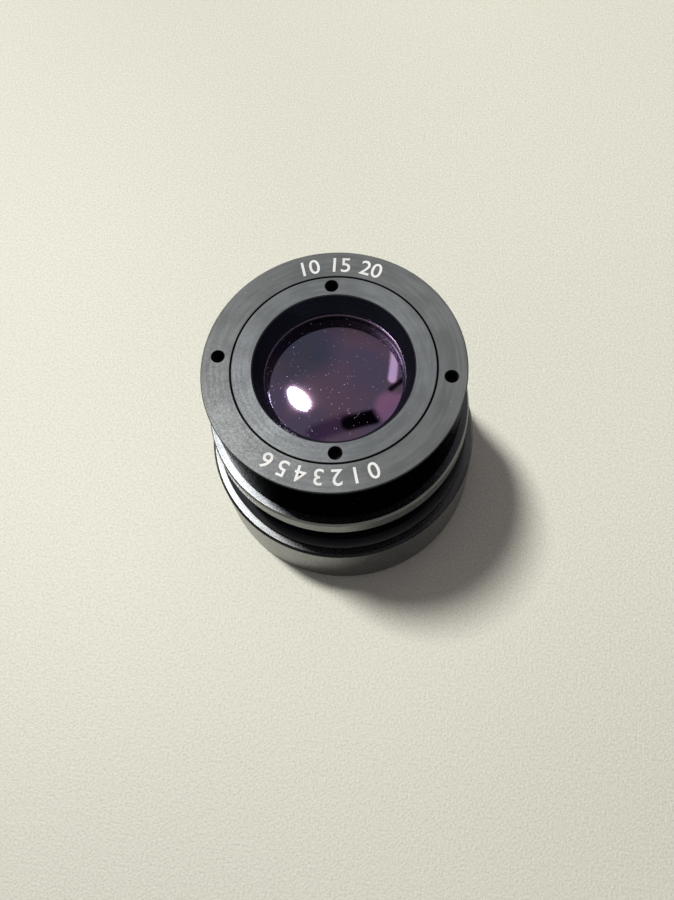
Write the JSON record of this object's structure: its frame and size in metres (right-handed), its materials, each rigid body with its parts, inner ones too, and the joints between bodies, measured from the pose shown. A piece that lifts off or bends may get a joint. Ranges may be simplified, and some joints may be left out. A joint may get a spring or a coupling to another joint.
{
  "type": "thermal imaging lens",
  "caption": "Round infrared lens in a stepped black barrel, with a flanged front face, a domed coated front element, a lock ring and a sealing shoulder.",
  "frame": {"origin": "middle of the rear face, on the optical axis; the lens stands on this face", "axes": "+Z along the optical axis towards the front, +X through one spanner hole of the front flange"},
  "size_m": [0.034, 0.034, 0.0286],
  "materials": {
    "barrel_black": "black anodised, satin, fine turned",
    "lock_ring_black": "black anodised, satin",
    "cell_black": "black anodised, fine bead blast",
    "ring_black": "black anodised, fine bead blast",
    "seal_rubber": "moulded rubber",
    "front_coating": "polished infrared glass with a violet antireflection coating",
    "rear_coating": "polished infrared glass with a blue-violet antireflection coating",
    "slip_film": "thin slippery film",
    "stop_black": "matt black",
    "shim_brass": "rolled shim stock",
    "acetal": "natural acetal, turned"
  },
  "bodies": {
    "root": {"mount_barrel": "barrel_black", "housing_seal_ring": "seal_rubber", "lock_ring": "lock_ring_black", "lens_cell": "cell_black", "cell_seal_ring": "seal_rubber", "front_lens_seal": "seal_rubber", "front_lens": "front_coating", "front_slip_washer": "slip_film", "front_retaining_ring": "ring_black", "aperture_stop": "stop_black", "spacing_shim": "shim_brass", "spacer_tube": "stop_black", "compensator_ring": "acetal", "rear_lens": "rear_coating", "rear_lens_cushion": "seal_rubber", "rear_retaining_ring": "ring_black"}
  },
  "joints": []
}
